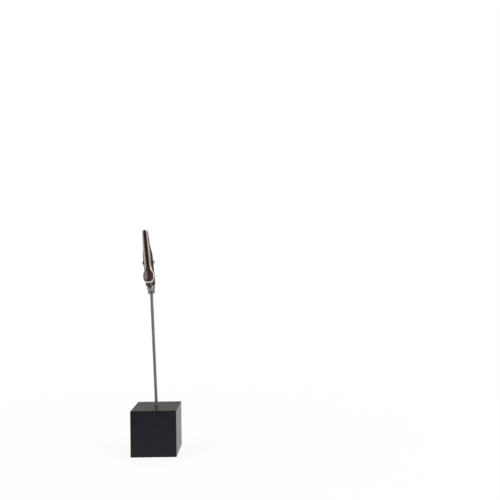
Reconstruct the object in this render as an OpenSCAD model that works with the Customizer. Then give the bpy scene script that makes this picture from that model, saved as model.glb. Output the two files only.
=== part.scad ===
// Memo clip holder: a painted cube, a thin wire stem and a sprung crocodile clip
// crimped on the stem's top. Millimetres, +Z up, the viewer stands on the -Y side.
// The origin is the middle of the cube's underside.

/* [Block] */
// Edge length of the cube
block_side = 30; // [24:1:40]
// Width of the chamfer on every edge of the cube
block_edge = 0.4; // [0.2:0.1:1.2]
// Depth of the hole that holds the stem
socket_depth = 14; // [8:1:18]
// How far the countersink at the hole's mouth widens past its wall
socket_flare = 0.7; // [0.3:0.1:1.2]

/* [Stem] */
// Diameter of the wire
wire_d = 2; // [1.6:0.1:2.4]
// Height of wire between the cube's top and the ferrule's mouth
stem_free = 75.3; // [45:0.1:110]
// Lean of the wire from upright, towards -X
stem_lean = 1.9; // [0:0.1:5]
// Further lean of the clip, where the wire is bent at the ferrule's mouth
clip_lean = 3.2; // [1:0.1:8]
// Turn of the clip about its own length, its thumb press going towards +X
clip_turn = 4; // [0:1:20]
// How far the wire stands out of the ferrule, inside the clip's channel
wire_reach = 4.2; // [2:0.1:5]

/* [Clip] */
// Length of the clip from the ferrule's mouth to the jaws' tip
clip_len = 43.8; // [38:0.2:52]
// Thickness of the pressed sheet
sheet_t = 0.55; // [0.4:0.05:0.7]
// Width of both jaws at the tip
tip_w = 3.7; // [3:0.1:4.6]
// Width of the lever at the pivot
lever_w = 5; // [4.6:0.1:5.6]
// How full the noses are between tip and pivot, where 1 is a straight taper
nose_curve = 2.2; // [1:0.1:3]
// Widest point of the lever's thumb press
press_w = 7.5; // [6.6:0.1:8]
// Height of the lever's back over the gripping plane, at the tip
tip_h = 1.9; // [1.6:0.1:2.4]
// Height of the lever's back over the gripping plane, at the pivot
back_h = 3.5; // [3.2:0.1:4.2]
// Depth of the fixed jaw's floor under the gripping plane, at the pivot
floor_d = 3.2; // [3:0.1:3.8]
// Radius of the fold between the fixed jaw's floor and its sides
fold_r = 1.3; // [0.9:0.05:1.4]
// Width of the flat along the lever's back, with a rounded shoulder on each side
spine_w = 1.2; // [0.8:0.1:1.6]
// Length over which the fixed jaw's sides flare out towards its ears
flare_len = 8.5; // [4:0.1:10]
// Length of the crimped ferrule
ferrule_len = 2.8; // [2.4:0.1:4.6]
// Length of the taper from the channel down to the ferrule
taper_len = 4.4; // [3:0.1:5]

/* [Teeth] */
// Number of teeth on each side of a jaw
tooth_count = 8; // [4:1:9]
// Distance from one tooth to the next
tooth_pitch = 1.2; // [1:0.1:1.3]
// Height of a tooth
tooth_h = 0.5; // [0.3:0.05:0.7]
// Gap that the closed jaws leave along the teeth
bite_gap = 0.12; // [0.08:0.02:0.2]

/* [Pivot] */
// Height of the pivot over the ferrule's mouth
pivot_z = 21.2; // [20:0.1:22.5]
// Diameter of the rivet's shank
rivet_d = 1.5; // [1.2:0.1:1.7]
// Diameter of the rivet's heads
rivet_head_d = 2.4; // [2.2:0.1:3]
// Height of the rivet's own head, on the +X side
rivet_head_h = 1.1; // [0.7:0.05:1.2]
// Height of the head that is peened on its other end
peen_h = 0.7; // [0.5:0.05:1]
// Radius of the ears round the rivet
ear_r = 1.9; // [1.7:0.05:2]
// Gap between the lever's ears and the fixed jaw's ears, on the side that the lever sits on
ear_gap = 0.1; // [0.06:0.02:0.2]
// More gap on the other side, +X, as the lever has some play along its rivet
side_play = 0.2; // [0:0.04:0.4]
// Gap all round the rivet in the lever's ears
rivet_gap = 0.06; // [0.03:0.01:0.09]

/* [Thumb press] */
// How far behind the pivot the thumb press ends
press_len = 13.6; // [12.6:0.1:14.4]
// Angle at which the thumb press stands off the clip
press_angle = 24; // [23:1:28]
// Radius of the rim rolled along the thumb press's edge
rim_r = 0.7; // [0.6:0.05:0.8]
// Width of the teardrop dish in the thumb press
dish_w = 6.1; // [4.6:0.1:6.1]
// Depth of the dish
dish_d = 0.5; // [0.3:0.05:0.7]
// How far behind the pivot the dish's point lies
dish_gap = 2.8; // [2.4:0.1:3.6]

/* [Spring] */
// Diameter of the spring's wire
spring_d = 0.55; // [0.4:0.05:0.6]
// Radius of the coil, on the wire's centreline
coil_r = 1.3; // [1.2:0.05:1.35]
// Whole turns of the coil, to which its legs add a half
coil_turns = 3; // [2:1:3]
// Length of the leg that lies on the fixed jaw's floor
floor_leg = 8.4; // [6:0.2:9]
// Length of the leg that bears on the thumb press
press_leg = 7; // [6:0.2:7.6]

/* [Hidden] */
$fn = 48;

far = 200;                                  // longer than anything cut by it
wire_r = wire_d / 2;
socket_gap = 0.03;                          // room round the glued wire
socket_end = 0.2;                           // room under its end
squeeze = 0.03;                             // how much the crimp thins the wire's radius
crimp_gap = 0.03;                           // room between a crimp dent and the wire
crimp_room = 0.7;                           // room between the rest of the ferrule and the wire
ferrule_r = wire_r + crimp_room + sheet_t;  // outside of the ferrule
ferrule_cone = 0.3;                         // how much it widens from its dents up to the taper
mouth_round = 0.25;                         // rounding of the ferrule's mouth
axis_n = ferrule_r - floor_d;               // the wire's axis, measured from the gripping plane

pivot_s = clip_len - pivot_z;               // along a jaw, from its tip to the rivet
lever_len = pivot_s + press_len;
lever_x = -side_play / 2;                   // the lever's middle
ear_half = lever_w / 2 + side_play / 2 + ear_gap + sheet_t; // outside of the fixed jaw's ears
teeth_from = tip_w / 2;
teeth_to = teeth_from + tooth_count * tooth_pitch;
tip_drop = 0.35;                            // how far the jaws' backs come down at the tip
tip_run = 4;                                // over this length
fan_run = 8;                                // length over which the sheet's rows fan round an end
tip_room = 0.1;                             // sheet that the fan keeps between its end and the fold
press_room = 0.7;                           // the same at the thumb press's end
rim_more = 0.2;                             // how much softer the rim is at the very end
least_r = 0.1;                              // smallest radius inside a fold

STEEL = [0.55, 0.55, 0.56];
NICKEL = [0.78, 0.75, 0.73];
DULL = [0.62, 0.61, 0.6];

function mix(a, b, k) = a + (b - a) * k;
function ramp(x, a, b) = min(1, max(0, (x - a) / (b - a)));
function ease(x, a, b) = let (k = ramp(x, a, b)) k * k * (3 - 2 * k);

// The frames that the stem and the clip stand in

module at_stem() {
    translate([0, 0, block_side]) rotate([0, -stem_lean, 0]) children();
}

module at_clip() {
    at_stem() translate([0, 0, stem_free]) rotate([0, -clip_lean, 0])
        rotate([0, 0, clip_turn]) children();
}

// The rivet's axis, along X, in the clip's frame
module at_pivot() {
    at_clip() translate([0, axis_n, pivot_z]) rotate([0, 90, 0]) children();
}

// The cube and its hole

module chamfered_square() {
    a = block_side / 2;
    b = a - block_edge;
    polygon([[a, b], [b, a], [-b, a], [-a, b], [-a, -b], [-b, -a], [b, -a], [a, -b]]);
}

module block() {
    color([0.11, 0.11, 0.13]) difference() {
        translate([0, 0, block_side / 2]) intersection() {
            linear_extrude(block_side, center = true) chamfered_square();
            rotate([90, 0, 0]) linear_extrude(block_side, center = true) chamfered_square();
            rotate([0, 90, 0]) linear_extrude(block_side, center = true) chamfered_square();
        }
        at_stem() {
            translate([0, 0, -socket_depth - socket_end])
                cylinder(h = socket_depth + socket_end + socket_flare, r = wire_r + socket_gap);
            translate([0, 0, -socket_flare])
                cylinder(h = 2 * socket_flare, r1 = wire_r + socket_gap,
                         r2 = wire_r + socket_gap + 2 * socket_flare);
        }
    }
}

// The wire: straight out of the cube, bent at the ferrule, then up into the clip

module stem() {
    elbow = 0.2 * wire_r;
    color(STEEL) union() {
        at_stem() translate([0, 0, -socket_depth])
            cylinder(h = socket_depth + stem_free, r = wire_r);
        at_clip() translate([0, 0, -elbow])
            cylinder(h = elbow + ferrule_len + wire_reach, r = wire_r - squeeze);
    }
}

// Both jaws are pressed from sheet into a channel whose tip is closed. A half outline
// [x, s] runs from the tip along the channel's side. At each of its stations the sheet
// goes from the spine over the back, round the fold and down the side to the free edge.

BACK = 4;                     // steps over the back
FOLD = 3;                     // steps round the fold
SIDE = 3;                     // steps down the side
ACROSS = BACK + FOLD + SIDE;

// Outward normal of a half outline, which is mirrored in the spine at a closed end
function outline_normal(o, k) =
    let (last = len(o) - 1,
         before = k > 0 ? o[k - 1] : [-o[1].x, o[1].y],
         after = k < last ? o[k + 1] : o[k].x < 0.01 ? [-o[k - 1].x, o[k - 1].y] : o[k],
         t = after - before)
    [t.y, -t.x] / norm(t);

// One point [x, s, height] of the sheet. Skin 0 is its outside and skin 1 its inside.
function sheet_point(o, k, i, skin, back, fold, edge, dish, spine) =
    let (inset = skin * sheet_t,
         r = max(fold(o[k].y) - inset, least_r),
         n = outline_normal(o, k),
         turn = 90 * min(1, max(0, i - BACK) / FOLD),
         foot = o[k] - n * (inset + r * (1 - sin(turn))),
         p = i < BACK ? mix([0, spine(o[k].y)], foot, i / BACK) : foot,
         face = back(p.y) - inset - (i <= BACK ? dish(p.x, p.y) : 0) - r * (1 - cos(turn)),
         down = max(0, i - BACK - FOLD) / SIDE)
    [p.x, p.y, mix(face, edge[k], down)];

// The closed skin of a channel. rows[skin][k][i] holds its right half, and open_end
// says that its last station is a cut end instead of a second closed tip.
module sheet_body(rows, open_end, flip) {
    last = len(rows[0]) - 1;
    wide = 2 * ACROSS + 1;
    points = [for (skin = [0, 1], k = [0:last], v = [-ACROSS:ACROSS])
        let (p = rows[skin][k][abs(v)]) [v < 0 ? -p.x : p.x, p.y, p.z]];
    function shut(k) = k == 0 || (k == last && !open_end);
    function at(skin, k, v) = (skin * (last + 1) + k) * wide + ACROSS + (shut(k) ? abs(v) : v);
    function quad(a, b, c, d) = [[a, b, c], [a, c, d]];
    function turned(f, back) = back ? [f[2], f[1], f[0]] : f;
    skins = [for (skin = [0, 1], k = [0:last - 1], v = [-ACROSS:ACROSS - 1],
                  f = quad(at(skin, k, v), at(skin, k, v + 1),
                           at(skin, k + 1, v + 1), at(skin, k + 1, v)))
        turned(f, skin == 1)];
    edges = [for (side = [-1, 1], k = [0:last - 1],
                  f = quad(at(0, k, side * ACROSS), at(1, k, side * ACROSS),
                           at(1, k + 1, side * ACROSS), at(0, k + 1, side * ACROSS)))
        turned(f, side < 0)];
    cut = [for (v = [-ACROSS:open_end ? ACROSS - 1 : -ACROSS - 1],
                f = quad(at(0, last, v), at(0, last, v + 1),
                         at(1, last, v + 1), at(1, last, v)))
        f];
    all = [for (f = concat(skins, edges, cut)) turned(f, flip)];
    polyhedron(points, [for (f = all) if (f[0] != f[1] && f[1] != f[2] && f[2] != f[0]) f]);
}

// What the two jaws share: the rounded tip, the tapered nose and the teeth

TIP_STEPS = 5;
EAR_TURNS = [-90:22.5:45];
function tip_arc() = [for (a = [0:90 / TIP_STEPS:90]) tip_w / 2 * [sin(a), 1 - cos(a)]];
function nose_half(s) =
    mix(tip_w, lever_w, 1 - pow(1 - ramp(s, teeth_from, pivot_s), nose_curve)) / 2;
function tooth_stations() = [for (i = [1:2 * tooth_count]) teeth_from + i * tooth_pitch / 2];
function ear_stations() = [for (a = EAR_TURNS) pivot_s + ear_r * sin(a)];
function rounded_tip(s) = tip_drop * pow(1 - ramp(s, 0, tip_run), 2);
function zigzag(s) =
    s < teeth_from + 0.01 || s > teeth_to + 0.01 ? 0 :
    (round(2 * (s - teeth_from) / tooth_pitch) % 2 == 1 ? 1 : -1) * tooth_h / 2;
// Edge of a jaw from the nose round its ear to where the ear's back slopes to the tail
function eared_edge(s, nose, tail) =
    let (d = s - pivot_s, q = ear_r * sin(45))
    d <= -ear_r ? nose :
    d <= q ? min(nose, -sqrt(max(0, ear_r * ear_r - d * d))) :
    min(tail, -q + (d - q));

// The fixed jaw. Its floor is its back, so heights are measured away from the viewer.

flare_to = pivot_s - 2.1 * ear_r;
flare_from = flare_to - flare_len;
roll_to = clip_len - ferrule_len;
tail_from = roll_to - taper_len;
roll_from = mix(tail_from, roll_to, 0.43);
edge_drop = 0.3;                            // the channel's edges, below the gripping plane
seam_angle = 177;
dent_z = 0.4 * ferrule_len;
dent_span = 0.25 * ferrule_len;
dent_angles = [0, 128];

function body_half(s) =
    s < roll_to
        ? mix(mix(nose_half(s), ear_half, ease(s, flare_from, flare_to)),
              ferrule_r, ease(s, tail_from, roll_to))
        : ferrule_r;
function body_back(s) = mix(tip_h, floor_d, ramp(s, 0, flare_from)) - rounded_tip(s);
function body_spine(s) = s + (fold_r + tip_room) * (1 - ramp(s, 0, fan_run));
body_stations = concat(
    tooth_stations(),
    [for (k = [1:5]) mix(teeth_to, flare_to, k / 5)],
    ear_stations(),
    [pivot_s + ear_r * 1.9, mix(pivot_s, tail_from, 0.7), tail_from],
    [for (k = [1:3]) mix(tail_from, roll_from, k / 3)],
    [for (k = [1:5]) mix(roll_from, roll_to, k / 5)],
    [for (k = [1:6]) mix(roll_to, clip_len - 2 * mouth_round, k / 6)],
    [for (k = [1:3]) clip_len - 2 * mouth_round * (1 - k / 3)]);
body_outline = concat(tip_arc(), [for (s = body_stations) [body_half(s), s]]);
body_edge = [for (p = body_outline)
    let (s = p.y, nose = bite_gap / 2 + zigzag(s))
    eared_edge(s, nose, edge_drop)];

// Radius of the ferrule's skin, with a rounded mouth, dents that grip the wire and a slight cone
function ferrule_skin(s, angle, skin) =
    let (z = clip_len - s,
         near = max([for (a = dent_angles)
             exp(-pow((z - dent_z) / dent_span, 2) - pow((angle - a) / 34, 2))]),
         mouth = mouth_round * pow(1 - ramp(z, 0, 2 * mouth_round), 2),
         widen = ferrule_cone * ramp(z, dent_z, ferrule_len + 0.2 * taper_len))
    ferrule_r + widen - skin * sheet_t - (crimp_room + squeeze - crimp_gap) * near
    - mouth * (1 - skin);

function body_point(k, i, skin) =
    let (s = body_outline[k].y,
         u = sheet_point(body_outline, k, i, skin, function (s) body_back(s),
                         function (s) fold_r, body_edge, function (x, s) 0,
                         function (s) body_spine(s)),
         angle = seam_angle * i / ACROSS,
         r = ferrule_skin(s, angle, skin),
         c = [r * sin(angle), s, -axis_n + r * cos(angle)])
    mix(u, c, ease(s, roll_from, roll_to));

module clip_body() {
    rows = [for (skin = [0, 1]) [for (k = [0:len(body_outline) - 1])
        [for (i = [0:ACROSS]) let (p = body_point(k, i, skin))
            [p.x, p.z + axis_n, clip_len - p.y]]]];
    color(NICKEL) difference() {
        at_clip() sheet_body(rows, true, false);
        at_pivot() cylinder(h = far, r = rivet_d / 2, center = true);
    }
}

// The lever: a nose like the fixed jaw's, ears inside its ears, and a dished thumb press

press_from = pivot_s + 0.8 * ear_r;
press_bend = 0.38 * press_len;
widen_from = pivot_s + 0.25 * press_len;
widest_s = pivot_s + 0.58 * press_len;
dish_from = pivot_s + dish_gap;
dish_to = lever_len - 2 * rim_r;
edge_h = 0.15;                              // height of the thumb press's edge below its rim

function lever_back(s) =
    let (u = max(0, s - press_from), b = press_bend)
    mix(tip_h, back_h, s / pivot_s) - rounded_tip(s)
    + tan(press_angle) * (u < b ? u * u / (2 * b) : u - b / 2);
function lever_half(s) =
    s < pivot_s ? nose_half(s) : mix(lever_w, press_w, ease(s, widen_from, widest_s)) / 2;
function lever_fold(s) =
    s < pivot_s
        ? nose_half(s) - spine_w / 2
        : mix((lever_w - spine_w) / 2, rim_r, ease(s, press_from, widest_s))
          + rim_more * ease(s, widest_s, lever_len);
function lever_spine(s) =
    s + (lever_fold(0) + tip_room) * (1 - ramp(s, 0, fan_run))
    - (lever_fold(lever_len) + press_room) * ramp(s, lever_len - fan_run, lever_len);
function dish(x, s) =
    let (k = ramp(s, dish_from, dish_to),
         half = 0.001 + dish_w / 2 * pow(sin(180 * k * k), 0.8),
         q = 1 - pow(x / half, 2))
    k <= 0 || k >= 1 || q <= 0 ? 0 : dish_d * pow(q, 1.4) * pow(sin(180 * pow(k, 1.6)), 0.7);

END_STEPS = 7;
lever_stations = concat(
    tooth_stations(),
    [mix(teeth_to, pivot_s - ear_r, 0.35), mix(teeth_to, pivot_s - ear_r, 0.7)],
    ear_stations(),
    [for (k = [1:8]) mix(pivot_s + ear_r * sin(45), widest_s, k / 8)]);
lever_outline = concat(
    tip_arc(),
    [for (s = lever_stations) [lever_half(s), s]],
    [for (k = [1:END_STEPS]) let (a = 90 * k / END_STEPS)
        [press_w / 2 * pow(max(0, cos(a)), 2 / 3), mix(widest_s, lever_len, pow(sin(a), 2 / 3))]]);
lever_edge = [for (p = lever_outline)
    let (s = p.y)
    eared_edge(s, bite_gap / 2 - zigzag(s), lever_back(s) - lever_fold(s) - edge_h)];

function lever_point(k, i, skin) =
    sheet_point(lever_outline, k, i, skin, function (s) lever_back(s),
                function (s) lever_fold(s), lever_edge, function (x, s) dish(x, s),
                function (s) lever_spine(s));

module clip_lever() {
    rows = [for (skin = [0, 1]) [for (k = [0:len(lever_outline) - 1])
        [for (i = [0:ACROSS]) let (p = lever_point(k, i, skin))
            [p.x, axis_n - p.z, clip_len - p.y]]]];
    color(NICKEL) difference() {
        at_clip() translate([lever_x, 0, 0]) sheet_body(rows, false, true);
        at_pivot() cylinder(h = far, r = rivet_d / 2 + rivet_gap, center = true);
    }
}

// The rivet through all four ears: its own head on one side, a peened one on the other

module rivet_head(h) {
    r = rivet_head_d / 2;
    dome_h = 0.75 * h;
    dome_r = (r * r + dome_h * dome_h) / (2 * dome_h);
    translate([0, 0, ear_half]) rotate_extrude() intersection() {
        translate([0, h - dome_r]) circle(r = dome_r);
        square([r, h]);
    }
}

module pivot_rivet() {
    color(DULL) at_pivot() union() {
        cylinder(h = 2 * ear_half, r = rivet_d / 2, center = true);
        rivet_head(rivet_head_h);
        mirror([0, 0, 1]) rivet_head(peen_h);
    }
}

// The torsion spring: a coil round the rivet, one leg on the floor, one under the press

leg_gap = 0.08;
coil_half = lever_w / 2 - side_play / 2 - sheet_t - spring_d / 2 - 2 * ear_gap;
press_leg_x = 0.4 * coil_half;
press_leg_s = pivot_s + press_leg;

function coil_point(a) =
    [mix(-coil_half, coil_half, a / (360 * coil_turns + 180)),
     axis_n + coil_r * cos(a), pivot_z + coil_r * sin(a)];
floor_leg_end =
    [-coil_half, ferrule_r - sheet_t - spring_d / 2 - leg_gap, pivot_z - floor_leg];
press_leg_end =
    let (face = lever_back(press_leg_s) - dish(press_leg_x, press_leg_s))
    [press_leg_x,
     axis_n - (face - sheet_t / cos(press_angle) - spring_d / 2 - leg_gap),
     clip_len - press_leg_s];
spring_path = concat(
    [floor_leg_end],
    [for (a = [0:20:360 * coil_turns + 180]) coil_point(a)],
    [press_leg_end]);

SPRING_SIDES = 8;
function spring_ring(k) =
    let (last = len(spring_path) - 1,
         t = spring_path[min(last, k + 1)] - spring_path[max(0, k - 1)],
         d = t / norm(t),
         a = cross([1, 0, 0], d) / norm(cross([1, 0, 0], d)),
         b = cross(d, a))
    [for (j = [0:SPRING_SIDES - 1]) let (q = 360 * j / SPRING_SIDES)
        spring_path[k] + spring_d / 2 * (cos(q) * a + sin(q) * b)];

module torsion_spring() {
    rings = len(spring_path);
    points = [for (k = [0:rings - 1], p = spring_ring(k)) p];
    sides = [for (k = [0:rings - 2], j = [0:SPRING_SIDES - 1])
        let (n = (j + 1) % SPRING_SIDES, a = k * SPRING_SIDES, b = a + SPRING_SIDES)
        [a + j, b + j, b + n, a + n]];
    ends = [[for (j = [0:SPRING_SIDES - 1]) j],
            [for (j = [SPRING_SIDES - 1:-1:0]) (rings - 1) * SPRING_SIDES + j]];
    color(STEEL) at_clip() polyhedron(points, concat(sides, ends));
}

block();
stem();
clip_body();
clip_lever();
pivot_rivet();
torsion_spring();
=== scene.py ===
import math

import bmesh
import bpy
from mathutils import Matrix, Vector


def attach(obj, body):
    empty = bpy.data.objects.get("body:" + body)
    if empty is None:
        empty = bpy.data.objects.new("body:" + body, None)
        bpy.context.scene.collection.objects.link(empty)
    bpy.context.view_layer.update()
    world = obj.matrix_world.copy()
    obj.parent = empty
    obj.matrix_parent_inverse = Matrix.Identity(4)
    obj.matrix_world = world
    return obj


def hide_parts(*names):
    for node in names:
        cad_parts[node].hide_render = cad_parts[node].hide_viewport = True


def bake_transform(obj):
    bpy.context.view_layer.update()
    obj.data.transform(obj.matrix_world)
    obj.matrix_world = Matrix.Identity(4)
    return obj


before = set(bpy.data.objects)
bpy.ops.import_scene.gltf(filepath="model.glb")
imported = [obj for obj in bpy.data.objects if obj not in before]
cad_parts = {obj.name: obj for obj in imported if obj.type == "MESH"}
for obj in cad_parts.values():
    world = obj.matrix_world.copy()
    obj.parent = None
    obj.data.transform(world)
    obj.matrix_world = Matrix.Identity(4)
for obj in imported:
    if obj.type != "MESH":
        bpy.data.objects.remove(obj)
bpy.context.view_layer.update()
mm = 0.001
print("frame:", ", ".join(sorted(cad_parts)))


# The camera stands where the photograph was taken from, and the picture is 500 by 500

cameraSettings = {
    "place": (67.33, -439.0, 122.05),  # millimetres
    "yaw": 0.377, "pitch": 1.542, "roll": 0.880,  # degrees
    "focalPixels": 650, "picturePixels": 500, "sensor": 36,
    "near": 0.01, "far": 20,  # metres
}


def makeCamera(s):
    data = bpy.data.cameras.new("camera")
    data.sensor_width = s["sensor"]
    data.lens = s["focalPixels"] / s["picturePixels"] * s["sensor"]
    data.clip_start, data.clip_end = s["near"], s["far"]
    camera = bpy.data.objects.new("camera", data)
    bpy.context.collection.objects.link(camera)
    look = (Matrix.Rotation(math.radians(s["yaw"]), 3, "Z")
            @ Matrix.Rotation(math.radians(s["pitch"]), 3, "X")
            @ Matrix.Rotation(math.radians(s["roll"]), 3, "Y"))
    right, forward, up = look.col
    turn = Matrix((right, up, -forward)).transposed().to_4x4()
    camera.matrix_world = Matrix.Translation(Vector(s["place"]) * mm) @ turn
    bpy.context.scene.camera = camera


makeCamera(cameraSettings)


# Small tools

def mix(a, b, k):
    return a + (b - a) * k


def ramp(x, a, b):
    return min(1.0, max(0.0, (x - a) / (b - a)))


def ease(x, a, b):
    k = ramp(x, a, b)
    return k * k * (3 - 2 * k)


def steps(a, b, count):  # count values that end at b and leave a out
    return [mix(a, b, k / count) for k in range(1, count + 1)]


def linear(hexText):  # an sRGB hex colour as the linear one that a socket takes
    parts = [int(hexText[i:i + 2], 16) / 255 for i in (1, 3, 5)]
    straight = [c / 12.92 if c <= 0.04045 else ((c + 0.055) / 1.055) ** 2.4 for c in parts]
    return tuple(straight) + (1.0,)


def addNode(tree, kind, settings=None, links=None):  # settings are attributes or input sockets
    node = tree.nodes.new(kind)
    for name, value in (settings or {}).items():
        if isinstance(name, int) or name in node.inputs:
            node.inputs[name].default_value = value
        else:
            setattr(node, name, value)
    for name, socket in (links or {}).items():
        tree.links.new(socket, node.inputs[name])
    return node


def emptyTree(owner):  # the cleared node tree of a material or a world
    owner.use_nodes = True
    owner.node_tree.nodes.clear()
    return owner.node_tree


def newObject(name, mesh, *materials):
    obj = bpy.data.objects.new(name, mesh)
    bpy.context.collection.objects.link(obj)
    for material in materials:
        obj.data.materials.append(material)
    return obj


def settle(obj):  # turns what the modifiers make into the object's own plain mesh
    bpy.context.view_layer.update()
    graph = bpy.context.evaluated_depsgraph_get()
    mesh = bpy.data.meshes.new_from_object(obj.evaluated_get(graph))
    obj.modifiers.clear()
    obj.data = mesh
    return obj


def smooth(obj, angle):  # soft shading that breaks at edges sharper than angle
    obj.data.shade_smooth()
    obj.data.set_sharp_from_angle(angle=math.radians(angle))
    weights = obj.modifiers.new("weights", "WEIGHTED_NORMAL")
    weights.keep_sharp = True
    return settle(obj)


def closeUp(mesh):  # merges what meets, drops what has no area and turns all faces out
    meeting, empty = 1e-6, 1e-7  # metres
    work = bmesh.new()
    work.from_mesh(mesh)
    bmesh.ops.remove_doubles(work, verts=work.verts, dist=meeting)
    bmesh.ops.dissolve_degenerate(work, edges=work.edges, dist=empty)
    bmesh.ops.recalc_face_normals(work, faces=work.faces)
    work.to_mesh(mesh)
    work.free()
    return mesh


def lathe(profile, place, sides):  # profile [radius, height] round the Z axis of place
    rings = [[place @ Vector((r * math.cos(a), r * math.sin(a), z)) * mm
              for a in [2 * math.pi * k / sides for k in range(sides)]] for r, z in profile]
    points = [p for ring in rings for p in ring]
    faces = [(i * sides + k, i * sides + (k + 1) % sides,
              (i + 1) * sides + (k + 1) % sides, (i + 1) * sides + k)
             for i in range(len(profile) - 1) for k in range(sides)]
    faces += [tuple(range(sides)), tuple(range((len(profile) - 1) * sides, len(profile) * sides))]
    mesh = bpy.data.meshes.new("lathe")
    mesh.from_pydata(points, [], faces)
    return closeUp(mesh)


def drill(obj, profile, place, sides):  # takes a turned shape out of a piece
    cutter = newObject("cutter", lathe(profile, place, sides))
    cut = obj.modifiers.new("hole", "BOOLEAN")
    cut.operation, cut.solver, cut.object = "DIFFERENCE", "EXACT", cutter
    settle(obj)
    bpy.data.objects.remove(cutter)
    return obj


# Materials

def newMaterial(name, **values):
    material = bpy.data.materials.new(name)
    tree = emptyTree(material)
    shader = addNode(tree, "ShaderNodeBsdfPrincipled", values)
    addNode(tree, "ShaderNodeOutputMaterial", None, {"Surface": shader.outputs["BSDF"]})
    return material, tree, shader


def pattern(tree, size, detail=2.0, rough=0.5, distortion=0.0):  # noise, its size in mm per axis
    place = addNode(tree, "ShaderNodeTexCoord").outputs["Object"]
    scale = [1 / (v * mm) for v in size]
    scaled = addNode(tree, "ShaderNodeMapping", {"Scale": scale}, {"Vector": place})
    noise = addNode(tree, "ShaderNodeTexNoise",
                    {"Scale": 1.0, "Detail": detail, "Roughness": rough, "Distortion": distortion},
                    {"Vector": scaled.outputs["Vector"]})
    return noise.outputs["Fac"]


noiseRange = (0.3, 0.7)  # nearly all the values of a noise lie in it


def between(tree, factor, low, high):  # noise, stretched over its range, as a value from low to high
    spread = addNode(tree, "ShaderNodeMapRange", {
        "From Min": noiseRange[0], "From Max": noiseRange[1], "To Min": low, "To Max": high,
    }, {"Value": factor})
    return spread.outputs["Result"]


def tint(tree, factor, dark, light):
    blend = addNode(tree, "ShaderNodeMix", {"data_type": "RGBA", 6: linear(dark), 7: linear(light)},
                    {0: between(tree, factor, 0.0, 1.0)})
    return blend.outputs[2]


def relief(tree, shader, layers):  # bumps of real depth, in mm, one on the other
    normal = None
    for height, depth in layers:
        bump = addNode(tree, "ShaderNodeBump", {"Strength": 1.0, "Distance": depth * mm},
                       {"Height": height})
        if normal:
            tree.links.new(normal, bump.inputs["Normal"])
        normal = bump.outputs["Normal"]
    tree.links.new(normal, shader.inputs["Normal"])


def blackLacquer():  # satin lacquer sprayed on beech: near black, pale only where seen edge-on
    material, tree, shader = newMaterial("blackLacquer", IOR=1.36)
    grain = pattern(tree, (9.0, 0.45, 0.45), detail=3.0, rough=0.6, distortion=0.4)  # beech fibres
    peel = pattern(tree, (0.7, 0.7, 0.7))  # the spray's orange peel
    cloud = pattern(tree, (6.0, 6.0, 6.0))
    tree.links.new(tint(tree, cloud, "#17161e", "#1c1b24"), shader.inputs["Base Color"])
    tree.links.new(between(tree, grain, 0.27, 0.36), shader.inputs["Roughness"])
    relief(tree, shader, [(peel, 0.006), (grain, 0.010)])
    return material


def drawnWire():  # bright steel pulled through a die, which leaves fine lines along it
    material, tree, shader = newMaterial("drawnWire", Metallic=1.0)
    lines = pattern(tree, (0.12, 0.12, 14.0), rough=0.6)
    dull = pattern(tree, (1.5, 1.5, 5.0))
    tree.links.new(tint(tree, dull, "#86878a", "#99999b"), shader.inputs["Base Color"])
    tree.links.new(between(tree, lines, 0.42, 0.58), shader.inputs["Roughness"])
    relief(tree, shader, [(lines, 0.006)])
    return material


def nickelPlate():  # bright nickel on pressed strip: warm grey, a little wavy, with hair scratches
    material, tree, shader = newMaterial("nickelPlate", Metallic=1.0)
    waves = pattern(tree, (2.6, 2.6, 4.0), detail=1.0)  # the strip is not quite flat after pressing
    scratch = pattern(tree, (0.10, 0.10, 2.2), rough=0.7, distortion=1.0)
    stain = pattern(tree, (1.8, 1.8, 2.6), detail=3.0, rough=0.6)
    # the ferrule is duller than the rest; the strip's cut edges are dark, partly for their rough break
    # and partly as painted shade of the gaps beside them, and the dents hold a painted shadow
    crimped = addNode(tree, "ShaderNodeAttribute", {"attribute_name": "crimped"}).outputs["Fac"]
    cutEdgeAndDentShade = addNode(tree, "ShaderNodeAttribute", {"attribute_name": "cutEdgeAndDentShade"}).outputs["Fac"]
    plate = addNode(tree, "ShaderNodeMix", {"data_type": "RGBA"}, {
        0: crimped, 6: tint(tree, stain, "#b9b2ad", "#cbc5c0"),
        7: tint(tree, stain, "#8b8783", "#aaa5a0")})
    # the dark tint mixed in here is painted shade on the cut edges and painted shadow in the dents
    colour = addNode(tree, "ShaderNodeMix", {"data_type": "RGBA"}, {
        0: cutEdgeAndDentShade, 6: plate.outputs[2], 7: tint(tree, stain, "#4d4844", "#6b6560")})
    gloss = addNode(tree, "ShaderNodeMix", {"data_type": "FLOAT"}, {
        0: crimped, 2: between(tree, scratch, 0.15, 0.26), 3: between(tree, stain, 0.32, 0.5)})
    dulled = addNode(tree, "ShaderNodeMix", {"data_type": "FLOAT"}, {
        0: cutEdgeAndDentShade, 2: gloss.outputs[0], 3: between(tree, stain, 0.35, 0.5)})
    tree.links.new(colour.outputs[2], shader.inputs["Base Color"])
    tree.links.new(dulled.outputs[0], shader.inputs["Roughness"])
    relief(tree, shader, [(waves, 0.05), (scratch, 0.002)])
    return material


def dullNickel():  # the rivet's plate, scuffed by the snap that forms its heads
    material, tree, shader = newMaterial("dullNickel", Metallic=1.0)
    scuff = pattern(tree, (0.35, 0.35, 0.35), detail=3.0, rough=0.7)
    tree.links.new(tint(tree, scuff, "#88847f", "#a39f9b"), shader.inputs["Base Color"])
    tree.links.new(between(tree, scuff, 0.24, 0.38), shader.inputs["Roughness"])
    relief(tree, shader, [(scuff, 0.008)])
    return material


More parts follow.
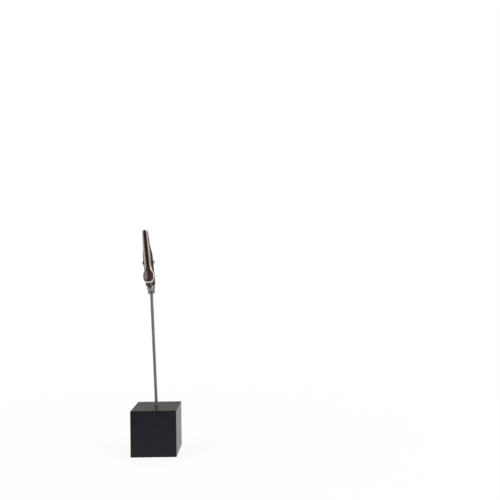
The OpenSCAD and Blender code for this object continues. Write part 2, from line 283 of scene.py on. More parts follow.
def springSteel():  # patented wire, greyer than the plate and drawn smooth
    material, tree, shader = newMaterial("springSteel", Metallic=1.0)
    patch = pattern(tree, (0.6, 0.6, 0.6))
    tree.links.new(tint(tree, patch, "#7d7d82", "#96969a"), shader.inputs["Base Color"])
    tree.links.new(between(tree, patch, 0.25, 0.36), shader.inputs["Roughness"])
    relief(tree, shader, [(patch, 0.003)])
    return material


lacquer, wireSteel, nickel, rivetMetal, springMetal = (
    blackLacquer(), drawnWire(), nickelPlate(), dullNickel(), springSteel())
print("materials made")


# Where the stem and the clip stand, in millimetres

blockSettings = {
    "side": 30, "round": 0.4, "roundSteps": 4, "soft": 40,
    "holeDepth": 14.2, "holeRadius": 1.03, "countersink": 0.7, "holeAxis": 0.01, "holeSides": 64,
}
stemSettings = {
    "radius": 1.0, "thinner": 0.03, "free": 75.3, "lean": 1.9, "bend": 3.2, "turn": 4,
    "socket": 14, "inClip": 7.6, "aside": 0.6, "kinkRadius": 0.2, "kinkSteps": 3, "sides": 48,
}

stemFrame = (Matrix.Translation((0, 0, blockSettings["side"]))
             @ Matrix.Rotation(math.radians(-stemSettings["lean"]), 4, "Y"))
clipFrame = (stemFrame @ Matrix.Translation((0, 0, stemSettings["free"]))
             @ Matrix.Rotation(math.radians(-stemSettings["bend"]), 4, "Y")
             @ Matrix.Rotation(math.radians(stemSettings["turn"]), 4, "Z"))


# The block

def makeBlock(s):
    work = bmesh.new()
    bmesh.ops.create_cube(work, size=s["side"] * mm,
                          matrix=Matrix.Translation((0, 0, s["side"] / 2 * mm)))
    bmesh.ops.bevel(work, geom=work.edges[:], offset=s["round"] * mm, segments=s["roundSteps"],
                    profile=0.5, affect="EDGES")
    mesh = bpy.data.meshes.new("paintedBlock")
    work.to_mesh(mesh)
    work.free()
    block = newObject("paintedBlock", mesh, lacquer)
    r, axis, flare, depth = s["holeRadius"], s["holeAxis"], s["countersink"], s["holeDepth"]
    profile = [(axis, -depth), (r, -depth), (r, -flare), (r + 2 * flare, flare), (axis, flare)]
    return smooth(drill(block, profile, stemFrame, s["holeSides"]), s["soft"])


block = makeBlock(blockSettings)
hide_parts("block")
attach(block, "holder")
print("block made")


# Wires: a geometry tree sweeps a round section along a path

def makeWireTree():
    tree = bpy.data.node_groups.new("sweptWire", "GeometryNodeTree")
    tree.is_modifier = True
    face = tree.interface
    face.new_socket("Path", in_out="INPUT", socket_type="NodeSocketGeometry")
    for name, kind in (("Radius", "Float"), ("Sides", "Int"), ("Material", "Material")):
        face.new_socket(name, in_out="INPUT", socket_type="NodeSocket" + kind)
    face.new_socket("Wire", in_out="OUTPUT", socket_type="NodeSocketGeometry")
    given = addNode(tree, "NodeGroupInput")
    curve = addNode(tree, "GeometryNodeMeshToCurve", None, {"Mesh": given.outputs["Path"]})
    section = addNode(tree, "GeometryNodeCurvePrimitiveCircle", None,
                      {"Resolution": given.outputs["Sides"], "Radius": given.outputs["Radius"]})
    swept = addNode(tree, "GeometryNodeCurveToMesh", {"Fill Caps": True},
                    {"Curve": curve.outputs["Curve"], "Profile Curve": section.outputs["Curve"]})
    whole = addNode(tree, "GeometryNodeRealizeInstances", None, {"Geometry": swept.outputs["Mesh"]})
    painted = addNode(tree, "GeometryNodeSetMaterial", None, {
        "Geometry": whole.outputs["Geometry"], "Material": given.outputs["Material"]})
    addNode(tree, "NodeGroupOutput", None, {"Wire": painted.outputs["Geometry"]})
    return tree


wireTree = makeWireTree()
wireSoft = 40  # degrees, the edges that a wire's shading still takes as round


def sweep(name, path, radius, sides, material):
    mesh = bpy.data.meshes.new(name)
    mesh.from_pydata([p * mm for p in path], [(k, k + 1) for k in range(len(path) - 1)], [])
    wire = newObject(name, mesh)
    modifier = wire.modifiers.new("sweep", "NODES")
    modifier.node_group = wireTree
    values = {"Radius": radius * mm, "Sides": sides, "Material": material}
    for item in wireTree.interface.items_tree:
        if item.name in values:
            modifier[item.identifier] = values[item.name]
    settle(wire)
    closeUp(wire.data)
    return smooth(wire, wireSoft)


def roundedPath(points, radius, count):  # a path whose corners are turned on an arc
    path = [points[0]]
    for before, corner, after in zip(points, points[1:], points[2:]):
        a, b = (before - corner).normalized(), (after - corner).normalized()
        back = min(radius, (before - corner).length / 2, (after - corner).length / 2)
        for k in range(count + 1):
            t = k / count
            path.append((corner + a * back) * (1 - t) ** 2 + corner * 2 * t * (1 - t)
                        + (corner + b * back) * t ** 2)
    return path + [points[-1]]


def makeStem(s):
    corners = [stemFrame @ Vector((0, 0, -s["socket"])), stemFrame @ Vector((0, 0, s["free"])),
               clipFrame @ Vector((s["aside"], 0, s["inClip"]))]
    path = roundedPath(corners, s["kinkRadius"], s["kinkSteps"])
    return sweep("wireStem", path, s["radius"] - s["thinner"] / 2, s["sides"], wireSteel)


stem = makeStem(stemSettings)
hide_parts("stem")
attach(stem, "holder")
print("stem made")


# The clip's jaws, pressed from sheet. Both follow the same rules as the solids under them: a half
# outline [x, y] runs from the tip along the side, y being the distance from the tip. At each
# station the sheet goes over the back, round the fold and down the side to its free edge. Sizes
# are in millimetres and angles in degrees.

sheet = {
    "thick": 0.55, "corner": 0.08, "leastFold": 0.1, "flange": 1.3,
    "backSteps": 16, "foldSteps": 10, "sideSteps": 6, "cornerSteps": 3,
    "cornerShare": 0.35, "nearCorners": 3, "nearShare": 0.7,  # what a short side leaves for its corner
}
jaws = {
    "length": 43.8, "tipWidth": 3.7, "tipHeight": 1.9, "tipDrop": 0.35, "tipRun": 4, "tipSteps": 14,
    "fanRun": 8, "fanRoom": 0.1, "noseCurve": 2.2,
    "toothCount": 8, "toothPitch": 1.2, "toothHeight": 0.5, "toothBlunt": 0.12, "biteGap": 0.12,
    "pivotHeight": 21.2, "earRadius": 1.9, "earTurn": 45, "earStep": 5, "earGap": 0.1,
    "leverWidth": 5.0, "play": 0.2, "holeAxis": 0.001, "holeReach": 9, "holeSides": 48, "soft": 42,
}
pivotAt = jaws["length"] - jaws["pivotHeight"]
teethFrom = jaws["tipWidth"] / 2
teethTo = teethFrom + jaws["toothCount"] * jaws["toothPitch"]
earHalf = (jaws["leverWidth"] + jaws["play"]) / 2 + jaws["earGap"] + sheet["thick"]


def tipArc():
    turns = [math.pi / 2 * k / jaws["tipSteps"] for k in range(jaws["tipSteps"] + 1)]
    return [Vector((jaws["tipWidth"] / 2 * math.sin(a), jaws["tipWidth"] / 2 * (1 - math.cos(a))))
            for a in turns]


def noseHalf(y):
    full = 1 - (1 - ramp(y, teethFrom, pivotAt)) ** jaws["noseCurve"]
    return mix(jaws["tipWidth"], jaws["leverWidth"], full) / 2


def roundedTip(y):
    return jaws["tipDrop"] * (1 - ramp(y, 0, jaws["tipRun"])) ** 2


def toothStations():
    blunt = jaws["toothBlunt"]
    return [teethFrom + (i + f) * jaws["toothPitch"] / 2
            for i in range(2 * jaws["toothCount"]) for f in (blunt, 0.5, 1 - blunt, 1.0)]


def zigzag(y):  # the teeth's edge, their tips a little blunt
    beside, blunt = 0.001, jaws["toothBlunt"]
    if y < teethFrom + beside or y > teethTo + beside:
        return 0.0
    at = (y - teethFrom) / (jaws["toothPitch"] / 2) - 1e-9  # a border counts to the flank before it
    i = int(at)
    side = [0 if n == 0 else 1 if n % 2 else -1 for n in (i, i + 1)]
    return mix(*side, ramp(at - i, blunt, 1 - blunt)) * jaws["toothHeight"] / 2


def earStations():
    turns = range(-90, jaws["earTurn"] + 1, jaws["earStep"])
    return [pivotAt + jaws["earRadius"] * math.sin(math.radians(a)) for a in turns]


def earedEdge(y, nose, tail):  # the free edge, from the nose round the ear to the tail
    r, turn = jaws["earRadius"], math.radians(jaws["earTurn"])
    d, roundTo = y - pivotAt, r * math.sin(turn)
    if d <= -r + 1e-6:
        return nose
    if d <= roundTo:
        return min(nose, -math.sqrt(max(0.0, r * r - d * d)))
    return min(tail, -r * math.cos(turn) + (d - roundTo))


def outlineNormal(outline, k):  # the outline's two ends are mirrored, or the last one stays open
    before = outline[k - 1] if k else Vector((-outline[1].x, outline[1].y))
    if k < len(outline) - 1:
        after = outline[k + 1]
    else:
        after = Vector((-before.x, before.y)) if outline[k].x < 0.01 else outline[k]
    t = after - before
    return Vector((t.y, -t.x)).normalized()


def nothing(*place):  # the depth of a dish, a crimp or the dents' painted shadow where there is none
    return 0.0


def sheetPoint(outline, k, w, skin, back, fold, edge, dish, spine):
    # w is 0 on the spine, 1 at the fold's start, 2 at its end and 3 on the free edge
    inset, least = skin * sheet["thick"], sheet["leastFold"]
    width, height, slant = fold(outline[k].y)
    width, height, turn = max(width - inset, least), max(height - inset, least), ramp(w, 1, 2)
    across = mix(math.sin(math.pi / 2 * turn), turn, slant)  # a slanted fold runs out like a flange
    down = mix(1 - math.cos(math.pi / 2 * turn), turn ** sheet["flange"], slant)
    foot = outline[k] - outlineNormal(outline, k) * (inset + width * (1 - across))
    p = mix(Vector((0, spine(outline[k].y))), foot, w) if w < 1 else foot
    face = back(p.y) - inset - (dish(p.x, p.y) if w <= 1 else 0) - height * down
    return Vector((p.x, p.y, mix(face, edge, ramp(w, 2, 3))))


def sheetRow(pointAt, k):  # right half of a section, from the outer spine round to the inner one
    corner, thick, count = sheet["corner"], sheet["thick"], sheet["cornerSteps"]
    turns = [math.pi / 2 * i / count for i in range(count + 1)]
    rows = []
    for skin in (0, 1):
        fold, edge = pointAt(k, 2, skin), pointAt(k, 3, skin)
        other = pointAt(k, 3, 1 - skin)
        side = max((edge - fold).length, 1e-4)
        small = min(corner, sheet["cornerShare"] * side)
        near = 3 - min(sheet["nearCorners"] * corner, sheet["nearShare"] * side) / side
        row = [pointAt(k, w, skin) for w in
               [i / sheet["backSteps"] for i in range(sheet["backSteps"])]
               + [1 + i / sheet["foldSteps"] for i in range(sheet["foldSteps"])]
               + [mix(2, near, i / sheet["sideSteps"]) for i in range(sheet["sideSteps"] + 1)]]
        down = (edge - pointAt(k, 2.95, skin)).normalized()  # the side's direction near its edge
        for a in turns:  # the sheared edge's rounded corner
            over = small / thick * (1 - math.cos(a))
            row.append(mix(edge, other, over) - down * small * (1 - math.sin(a)))
        rows.append(row)
    return rows[0] + rows[1][::-1]


def pressedSheet(name, outline, pointAt, place, openEnd, crimpedAt=nothing, dentShadeAt=nothing):
    halves = [sheetRow(pointAt, k) for k in range(len(outline))]
    n = len(halves[0])
    rings = [half + [Vector((-p.x, p.y, p.z)) for p in half[::-1]] for half in halves]
    flat = [p for ring in rings for p in ring]
    faces = []
    for k in range(len(rings) - 1):
        for i in range(2 * n):
            j = (i + 1) % (2 * n)
            faces.append((k * 2 * n + i, k * 2 * n + j, (k + 1) * 2 * n + j, (k + 1) * 2 * n + i))
    if openEnd:
        base = (len(rings) - 1) * 2 * n
        for i in range(n // 2 - 1):
            for a, b, c, d in ((i, i + 1, n - 2 - i, n - 1 - i),
                               (2 * n - 1 - i, 2 * n - 2 - i, n + 1 + i, n + i)):
                faces.append((base + a, base + b, base + c, base + d))
    mesh = bpy.data.meshes.new(name)
    mesh.from_pydata([clipFrame @ place(p) * mm for p in flat], [], faces)
    crimped = mesh.attributes.new("crimped", "FLOAT", "POINT")  # where the tool dulls the plate
    cutEdgeAndDentShade = mesh.attributes.new("cutEdgeAndDentShade", "FLOAT", "POINT")  # the strip's cut edge, rough and with painted shade, and the dents' painted shadow
    for k, p in enumerate(flat):
        crimped.data[k].value = crimpedAt(outline[k // (2 * n)].y)
        i = min(k % (2 * n), 2 * n - 1 - k % (2 * n))
        cut = abs(i - (n - 1) / 2) < sheet["cornerSteps"]
        # cut edges get painted shade, and elsewhere the dents get a painted shadow
        cutEdgeAndDentShade.data[k].value = 1 - crimped.data[k].value if cut else dentShadeAt(p)
    return newObject(name, closeUp(mesh), nickel)


def pinHole(jaw, radius):  # the rivet's hole, through both ears
    axis, reach = jaws["holeAxis"], jaws["holeReach"]
    profile = [(axis, -reach), (radius, -reach), (radius, reach), (axis, reach)]
    return smooth(drill(jaw, profile, pivotFrame, jaws["holeSides"]), jaws["soft"])


# The fixed jaw, with its ears and the ferrule that wraps the stem

bodySettings = {
    "floorDepth": 3.2, "foldRadius": 1.3, "bend": 2.5, "edgeDrop": 0.3, "holeRadius": 0.75,
    "flareLength": 8.5, "flareGap": 2.1, "edgeFrom": 1.9, "tailStart": 2,  # the last three in ear radii
    "ferruleLength": 2.8, "taperLength": 4.4, "room": 0.7, "cone": 0.3, "coneShare": 0.2,
    "mouthRound": 0.25, "seamAngle": 178.6, "backShare": 0.4,
    "rollFrom": 0.24, "rollShut": 0.7, "rollRoom": 0.2,  # the first two as shares of the taper
    "dentAngles": (0, 132, 180), "dentAt": 0.45, "dentSpan": 0.25, "dentWidth": 16,
    # the last two give the reach and strength of the painted shadow in the crimp dents
    "dullFrom": 4.5, "dullTo": 1, "dentShadeSize": 0.9, "dentShadeStrength": 1.6,
    "noseSteps": 16, "tailSteps": 10, "taperSteps": 8, "rollSteps": 14, "mouthSteps": 6,
}
ferruleRadius = stemSettings["radius"] + bodySettings["room"] + sheet["thick"]
axisHeight = ferruleRadius - bodySettings["floorDepth"]  # the wire's axis, from the gripping plane
pivotFrame = (clipFrame @ Matrix.Translation((0, axisHeight, jaws["pivotHeight"]))
              @ Matrix.Rotation(math.pi / 2, 4, "Y"))


def makeBody(s):
    length, ear = jaws["length"], jaws["earRadius"]
    flareTo = pivotAt - s["flareGap"] * ear
    flareFrom = flareTo - s["flareLength"]
    rollTo = length - s["ferruleLength"]
    tailFrom = rollTo - s["taperLength"]
    rollFrom, shutAt = mix(tailFrom, rollTo, s["rollFrom"]), mix(tailFrom, rollTo, s["rollShut"])
    mouth = 2 * s["mouthRound"]
    dentHeight = s["dentAt"] * s["ferruleLength"]
    sideShare = (1 - s["backShare"]) / 2

    def half(y):
        if y >= rollTo:
            return ferruleRadius
        wide = mix(noseHalf(y), earHalf, ease(y, flareFrom, flareTo))
        return mix(wide, ferruleRadius, ease(y, tailFrom, rollTo))

    def back(y):  # the nose's slope runs into the level floor on a soft bend
        u, soft = y - flareFrom, s["bend"]
        k = 1 - max(0, soft - u) ** 2 / (4 * soft * flareFrom) if u > -soft else y / flareFrom
        return mix(jaws["tipHeight"], s["floorDepth"], k) - roundedTip(y)

    def fold(y):
        return s["foldRadius"], s["foldRadius"], 0

    def spine(y):
        return y + (s["foldRadius"] + jaws["fanRoom"]) * (1 - ramp(y, 0, jaws["fanRun"]))

    def dent(z, angle, size):  # how near a place is to a crimping dent
        high = (z - dentHeight) / (s["dentSpan"] * s["ferruleLength"])
        return max(math.exp(-(high ** 2 + ((angle - a) / s["dentWidth"]) ** 2) / size ** 2)
                   for a in s["dentAngles"])

    def skinRadius(y, angle, skin):
        z = length - y
        lip = s["mouthRound"] * (1 - ramp(z, 0, mouth)) ** 2
        widen = s["cone"] * ramp(z, dentHeight, s["ferruleLength"] + s["coneShare"] * s["taperLength"])
        outer = min(half(y), ferruleRadius + s["rollRoom"]) + widen
        return outer - skin * sheet["thick"] - s["room"] * dent(z, angle, 1) - lip * (1 - skin)

    stations = (toothStations() + steps(teethTo, flareTo, s["noseSteps"]) + earStations()
                + [pivotAt + ear * s["edgeFrom"]]
                + steps(pivotAt + ear * s["tailStart"], tailFrom, s["tailSteps"])
                + steps(tailFrom, rollFrom, s["taperSteps"])
                + steps(rollFrom, rollTo, s["rollSteps"])
                + steps(rollTo, length - mouth, s["rollSteps"])
                + steps(length - mouth, length, s["mouthSteps"]))
    outline = tipArc() + [Vector((half(y), y)) for y in stations]
    edges = [earedEdge(p.y, jaws["biteGap"] / 2 + zigzag(p.y), s["edgeDrop"]) for p in outline]

    def pointAt(k, w, skin):
        y = outline[k].y
        flat = sheetPoint(outline, k, w, skin, back, fold, edges[k], nothing, spine)
        angle = s["seamAngle"] * (s["backShare"] * min(w, 1) + sideShare * max(0, w - 1))
        r = skinRadius(y, angle, skin)
        turned = Vector((r * math.sin(math.radians(angle)), y,
                         -axisHeight + r * math.cos(math.radians(angle))))
        return mix(flat, turned, ease(y, rollFrom, shutAt))

    def place(p):
        return Vector((p.x, p.z + axisHeight, length - p.y))

    def crimpedAt(y):
        return ease(y, tailFrom - s["dullFrom"], tailFrom - s["dullTo"])

    def dentShadeAt(p):  # the dents get a painted shadow, darkest in their middle
        angle = math.degrees(math.atan2(abs(p.x), p.z + axisHeight))
        return min(1, s["dentShadeStrength"] * dent(length - p.y, angle, s["dentShadeSize"]))

    body = pressedSheet("fixedJaw", outline, pointAt, place, True, crimpedAt, dentShadeAt)
    return pinHole(body, s["holeRadius"])


body = makeBody(bodySettings)
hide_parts("clip_body")
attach(body, "holder")
print("fixed jaw made")


# The lever, with its dished thumb press

leverSettings = {
    "backHeight": 3.5, "spineWidth": 1.2, "holeRadius": 0.81,
    "pressWidth": 7.5, "pressLength": 13.6, "pressAngle": 24, "pressFrom": 0.8,  # in ear radii
    "bendTo": 0.38, "widenFrom": 0.3, "widestAt": 0.58,  # as shares of the press's length
    "rimWidth": 0.95, "rimHeight": 0.7, "endWidth": 1.15, "endHeight": 1.25, "edgeHeight": 0.15,
    "endFrom": 0.5, "endRoom": 0.7, "endRound": 3,
    "dishDepth": 0.5, "dishGap": 2.8, "dishEnd": 0.9,  # from the pivot, and in end widths
    "dishNeck": (1.4, 0.9), "dishRound": 3, "dishWall": 1.15, "dishAlong": (1.5, 1.1),  # exponents
    "noseSteps": 10, "pressSteps": 30, "endSteps": 22,
}


def makeLever(s):
    wide, length = jaws["leverWidth"], pivotAt + s["pressLength"]
    pressFrom = pivotAt + s["pressFrom"] * jaws["earRadius"]
    pressBend = s["bendTo"] * s["pressLength"]
    widenFrom = pivotAt + s["widenFrom"] * s["pressLength"]
    widest = pivotAt + s["widestAt"] * s["pressLength"]
    dishFrom, dishTo = pivotAt + s["dishGap"], length - s["dishEnd"] * s["endWidth"]

    def back(y):
        u = max(0, y - pressFrom)
        rise = u * u / (2 * pressBend) if u < pressBend else u - pressBend / 2
        return (mix(jaws["tipHeight"], s["backHeight"], y / pivotAt) - roundedTip(y)
                + math.tan(math.radians(s["pressAngle"])) * rise)

    def half(y):
        if y < pivotAt:
            return noseHalf(y)
        return mix(wide, s["pressWidth"], ease(y, widenFrom, widest)) / 2

    def fold(y):  # its width, height and slant: wide on the nose, small round the press
        if y < pivotAt:
            return (noseHalf(y) - s["spineWidth"] / 2,) * 2 + (0,)
        full, end = (wide - s["spineWidth"]) / 2, ease(y, mix(widest, length, s["endFrom"]), length)
        near = ease(y, pressFrom, widest)
        return (mix(mix(full, s["rimWidth"], near), s["endWidth"], end),
                mix(mix(full, s["rimHeight"], near), s["endHeight"], end), end)

    def spine(y):
        return (y + (fold(0)[0] + jaws["fanRoom"]) * (1 - ramp(y, 0, jaws["fanRun"]))
                - (fold(length)[0] + s["endRoom"]) * ramp(y, length - jaws["fanRun"], length))

    def dish(x, y):  # a teardrop that keeps the rim's width from the press's round end
        k = ramp(y, dishFrom, dishTo)
        if k <= 0 or k >= 1:
            return 0
        if y < widest:
            slow, full = s["dishNeck"]
            part = math.sin(math.pi / 2 * ramp(y, dishFrom, widest) ** slow) ** full
        else:
            part = (1 - ramp(y, widest, dishTo) ** s["dishRound"]) ** (1 / s["dishRound"])
        q = 1 - (x / (0.001 + (s["pressWidth"] / 2 - s["rimWidth"]) * part)) ** 2
        late, steep = s["dishAlong"]
        along = math.sin(math.pi * k ** late) ** steep
        return 0 if q <= 0 else s["dishDepth"] * q ** s["dishWall"] * along

    ears = earStations()
    stations = (toothStations() + steps(teethTo, ears[0], s["noseSteps"])[:-1] + ears
                + steps(ears[-1], widest, s["pressSteps"]))
    outline = tipArc() + [Vector((half(y), y)) for y in stations]
    for k in range(1, s["endSteps"] + 1):
        a, power = math.pi / 2 * k / s["endSteps"], 2 / s["endRound"]
        outline.append(Vector((s["pressWidth"] / 2 * max(0, math.cos(a)) ** power,
                               mix(widest, length, math.sin(a) ** power))))
    outline[-1].x = 0
    edges = [earedEdge(p.y, jaws["biteGap"] / 2 - zigzag(p.y),
                       back(p.y) - fold(p.y)[1] - s["edgeHeight"]) for p in outline]

    def pointAt(k, w, skin):
        return sheetPoint(outline, k, w, skin, back, fold, edges[k], dish, spine)

    def place(p):
        return Vector((p.x - jaws["play"] / 2, axisHeight - p.z, jaws["length"] - p.y))

    lever = pressedSheet("pressLever", outline, pointAt, place, False)
    return pinHole(lever, s["holeRadius"]), back, dish


lever, leverBack, leverDish = makeLever(leverSettings)
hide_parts("clip_lever")
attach(lever, "lever")
print("lever made")


# The rivet, its heads peened over the ears

rivetSettings = {
    "shank": 0.75, "head": 1.2, "height": 1.1, "peened": 0.7, "rim": 0.14, "bevel": 0.06,
    "domeCurve": 0.85, "domeSteps": 12, "sides": 64, "soft": 50,
}


def makeRivet(s):
    head, rim, bevel = s["head"], earHalf + s["rim"], s["bevel"]

    def dome(height):
        profile = [(s["shank"], earHalf), (head - bevel, earHalf), (head, earHalf + bevel), (head, rim)]
        for k in range(1, s["domeSteps"] + 1):
            a = math.pi / 2 * k / s["domeSteps"]
            profile.append((head * math.cos(a) ** s["domeCurve"] if k < s["domeSteps"] else 0.0,
                            rim + (height - s["rim"]) * math.sin(a)))
        return profile

    profile = [(r, -z) for r, z in dome(s["peened"])[::-1]] + dome(s["height"])
    mesh = lathe(profile, pivotFrame, s["sides"])
    return smooth(newObject("peenedRivet", mesh, rivetMetal), s["soft"])


rivet = makeRivet(rivetSettings)
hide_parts("pivot_rivet")
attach(rivet, "holder")
print("rivet made")


# The torsion spring: a coil round the rivet, a leg on the floor and a leg under the press

springSettings = {
    "wire": 0.275, "coil": 1.3, "turns": 3.5, "floorLeg": 8.4, "pressLeg": 7, "pressAside": 0.4,
    "gap": 0.08, "sides": 16, "turnSteps": 36,
}


def makeSpring(s):
    halfCoil = ((jaws["leverWidth"] - jaws["play"]) / 2 - sheet["thick"] - s["wire"]
                - 2 * jaws["earGap"])
    count = round(s["turns"] * s["turnSteps"])
    coil = []
    for k in range(count + 1):
        a = 2 * math.pi * s["turns"] * k / count
        x = mix(-halfCoil, halfCoil, k / count)
        coil.append(Vector((x, axisHeight + s["coil"] * math.cos(a),
                            jaws["pivotHeight"] + s["coil"] * math.sin(a))))
    floorEnd = Vector((-halfCoil, ferruleRadius - sheet["thick"] - s["wire"] - s["gap"],
                       jaws["pivotHeight"] - s["floorLeg"]))
    x, y = s["pressAside"] * halfCoil, pivotAt + s["pressLeg"]
    slope = math.radians(leverSettings["pressAngle"])
    lift = sheet["thick"] / math.cos(slope) + s["wire"] + s["gap"]
    pressEnd = Vector((x, axisHeight - (leverBack(y) - leverDish(x, y) - lift),
                       jaws["length"] - y))
    path = ([floorEnd, mix(floorEnd, coil[0], 0.5)] + coil
            + [mix(coil[-1], pressEnd, 0.5), pressEnd])  # each leg has a point half way
    return sweep("coiledSpring", [clipFrame @ p for p in path], s["wire"], s["sides"], springMetal)


spring = makeSpring(springSettings)
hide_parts("torsion_spring")
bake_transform(spring)
print("spring made")


# The studio: a white floor and soft lamps. Two curved screens, in front and behind, which only
# reflections see, give the metal something dark to mirror.

studio = {
    "floor": 3.0, "paper": "#f6f6f6", "floorGlow": 0.86, "shadowFrom": 0.05, "shadowTo": 0.35,
    "fill": 0.5, "lampTarget": (0, 0, 0.08),
    "lamps": [  # place and size in metres, power in watts
        ("keyLamp", (0.90, -0.63, 0.96), 1.0, 7.0),
        ("fillLamp", (-0.9, -0.5, 0.7), 0.8, 3.0),
        ("topLamp", (0.0, 0.3, 1.3), 1.0, 5.0),
    ],
}
screenSettings = {
    "height": 0.12, "rowSteps": 6,
    "darkTo": 0.2,  # tones under it turn to the dark hue
    "rightFrom": (-60, 20), "rightTo": (50, 80),  # the azimuths where the right hue comes and goes
    "front": {
        "name": "frontScreen", "distance": 0.85,
        "hues": ("#ff9078", "#fffffa", "#ffeee8"),  # of the dark, left and right parts
        "azimuths": (-150, -110, -80, -55, -36, -20, -8, 4, 14, 24, 34, 44, 60, 75, 90, 110, 135),
        "levels": [  # elevations, and the tones that each azimuth has there
            ((-22, 12), (0.95, 0.85, 0.68, 0.46, 0.25, 0.08, 0.02, 0.03, 0.14,
                         0.32, 0.52, 0.75, 1.00, 1.00, 0.55, 0.14, 0.04)),
            ((26,), (0.90, 0.80, 0.60, 0.38, 0.22, 0.10, 0.03, 0.02, 0.06,
                     0.20, 0.50, 0.90, 1.00, 1.00, 0.80, 0.40, 0.04)),
            ((38, 62), (0.85, 0.75, 0.50, 0.12, 0.04, 0.02, 0.03, 0.13, 0.24,
                        0.30, 0.42, 1.90, 2.00, 2.00, 1.60, 0.80, 0.05)),
            ((74,), (0.80, 0.70, 0.50, 0.20, 0.10, 0.06, 0.06, 0.15, 0.24,
                     0.50, 0.80, 0.90, 1.00, 1.00, 1.00, 0.40, 0.30)),
            ((89,), (0.45,) * 17),
        ],
    },
    "back": {
        "name": "backScreen", "distance": 0.90, "hues": ("#ff9078", "#fffdf4", "#fffdf4"),
        "azimuths": (128, 160, 168, 190, 198, 232),
        "levels": [((-6, 3), (0.40, 0.10, 0.03, 0.03, 0.30, 0.60)), ((4.5, 32), (0.64,) * 6)],
    },
}


def rayMix(tree, seen, unseen):  # seen by camera, glossy and transmission rays, unseen by the rest
    path = addNode(tree, "ShaderNodeLightPath")
    some = addNode(tree, "ShaderNodeMath", {"operation": "MAXIMUM"},
                   {0: path.outputs["Is Camera Ray"], 1: path.outputs["Is Glossy Ray"]})
    rays = addNode(tree, "ShaderNodeMath", {"operation": "MAXIMUM"},
                   {0: some.outputs[0], 1: path.outputs["Is Transmission Ray"]})
    both = addNode(tree, "ShaderNodeMixShader", None, {0: rays.outputs[0], 1: unseen, 2: seen})
    return both.outputs[0]


def makeWorld(s):
    world = bpy.data.worlds.new("studioWhite")
    tree = emptyTree(world)
    bpy.context.scene.world = world
    bright = addNode(tree, "ShaderNodeBackground", {"Color": (1, 1, 1, 1), "Strength": 1.0})
    fill = addNode(tree, "ShaderNodeBackground", {"Color": (1, 1, 1, 1), "Strength": s["fill"]})
    addNode(tree, "ShaderNodeOutputWorld", None, {
        "Surface": rayMix(tree, bright.outputs[0], fill.outputs[0])})


def makeFloor(s):
    half = s["floor"] / 2
    corners = [(-half, -half, 0), (half, -half, 0), (half, half, 0), (-half, half, 0)]
    mesh = bpy.data.meshes.new("floor")
    mesh.from_pydata(corners, [], [(0, 1, 2, 3)])
    material = bpy.data.materials.new("whitePaper")  # matt, white to the camera, faintly shadowed
    tree = emptyTree(material)
    paper = addNode(tree, "ShaderNodeBsdfDiffuse", {"Color": linear(s["paper"])})
    glow = addNode(tree, "ShaderNodeEmission", {"Color": (1, 1, 1, 1), "Strength": 1.0})
    place = addNode(tree, "ShaderNodeTexCoord").outputs["Object"]
    away = addNode(tree, "ShaderNodeVectorMath", {"operation": "LENGTH"}, {0: place})
    white = addNode(tree, "ShaderNodeMapRange", {
        "interpolation_type": "SMOOTHSTEP", "From Min": s["shadowFrom"], "From Max": s["shadowTo"],
        "To Min": s["floorGlow"], "To Max": 1.0}, {"Value": away.outputs["Value"]})
    lit = addNode(tree, "ShaderNodeMixShader", None,
                  {0: white.outputs["Result"], 1: paper.outputs[0], 2: glow.outputs[0]})
    above = rayMix(tree, lit.outputs[0], paper.outputs[0])
    under = addNode(tree, "ShaderNodeNewGeometry").outputs["Backfacing"]  # open from below
    clear = addNode(tree, "ShaderNodeBsdfTransparent")
    sides = addNode(tree, "ShaderNodeMixShader", None, {0: under, 1: above, 2: clear.outputs[0]})
    addNode(tree, "ShaderNodeOutputMaterial", None, {"Surface": sides.outputs[0]})
    floor = newObject("floor", mesh, material)
    floor.visible_glossy = False  # the white world stands for it there


def screenRows(s, levels):  # elevation and tones of each row, with finer rows between the levels
    rows = [(high, tones) for heights, tones in levels for high in heights]
    count = s["rowSteps"]
    fine = [(mix(low, high, k / count), [mix(a, b, k / count) for a, b in zip(lowTones, highTones)])
            for (low, lowTones), (high, highTones) in zip(rows, rows[1:]) for k in range(count)]
    return fine + [rows[-1]]


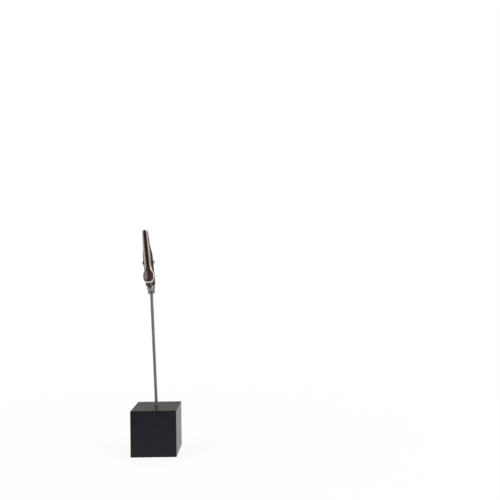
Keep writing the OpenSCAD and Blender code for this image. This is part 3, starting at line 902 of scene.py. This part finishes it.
def makeScreen(s, screen):  # only reflections see it
    azimuths, rows = screen["azimuths"], screenRows(s, screen["levels"])
    wide = len(azimuths)
    points = []
    for e in [math.radians(row[0]) for row in rows]:
        for a in [math.radians(v) for v in azimuths]:
            aim = Vector((math.sin(a) * math.cos(e), -math.cos(a) * math.cos(e), math.sin(e)))
            points.append(aim * screen["distance"] + Vector((0, 0, s["height"])))
    faces = [(i * wide + k, i * wide + k + 1, (i + 1) * wide + k + 1, (i + 1) * wide + k)
             for i in range(len(rows) - 1) for k in range(wide - 1)]
    mesh = bpy.data.meshes.new(screen["name"])
    mesh.from_pydata(points, [], faces)
    dark, left, right = [Vector(linear(hue)) for hue in screen["hues"]]
    shades = mesh.attributes.new("shade", "FLOAT_COLOR", "POINT")
    for k, tone in enumerate([tone for row in rows for tone in row[1]]):
        a = azimuths[k % wide]
        side = mix(left, right, ramp(a, *s["rightFrom"]) * (1 - ramp(a, *s["rightTo"])))
        shades.data[k].color = mix(dark, side, ramp(tone, 0, s["darkTo"])) * tone
    material = bpy.data.materials.new(screen["name"] + "Cloth")  # cloth that glows by its shade
    tree = emptyTree(material)
    shade = addNode(tree, "ShaderNodeAttribute", {"attribute_name": "shade"}).outputs["Color"]
    cloth = addNode(tree, "ShaderNodeEmission", {"Strength": 1.0}, {"Color": shade})
    addNode(tree, "ShaderNodeOutputMaterial", None, {"Surface": cloth.outputs[0]})
    drape = newObject(screen["name"], mesh, material)
    drape.visible_camera = drape.visible_diffuse = drape.visible_shadow = False
    drape.visible_transmission = False


def makeLamp(s, name, place, size, power):
    data = bpy.data.lights.new(name, "AREA")
    data.shape, data.size, data.energy = "SQUARE", size, power
    lamp = bpy.data.objects.new(name, data)
    bpy.context.collection.objects.link(lamp)
    lamp.location = place
    lamp.rotation_euler = (Vector(place) - Vector(s["lampTarget"])).to_track_quat("Z", "Y").to_euler()
    lamp.visible_camera = False


makeWorld(studio)
makeFloor(studio)
for lamp in studio["lamps"]:
    makeLamp(studio, *lamp)
for side in ("front", "back"):
    makeScreen(screenSettings, screenSettings[side])
bpy.context.scene.view_settings.view_transform = "Standard"
print("studio made")
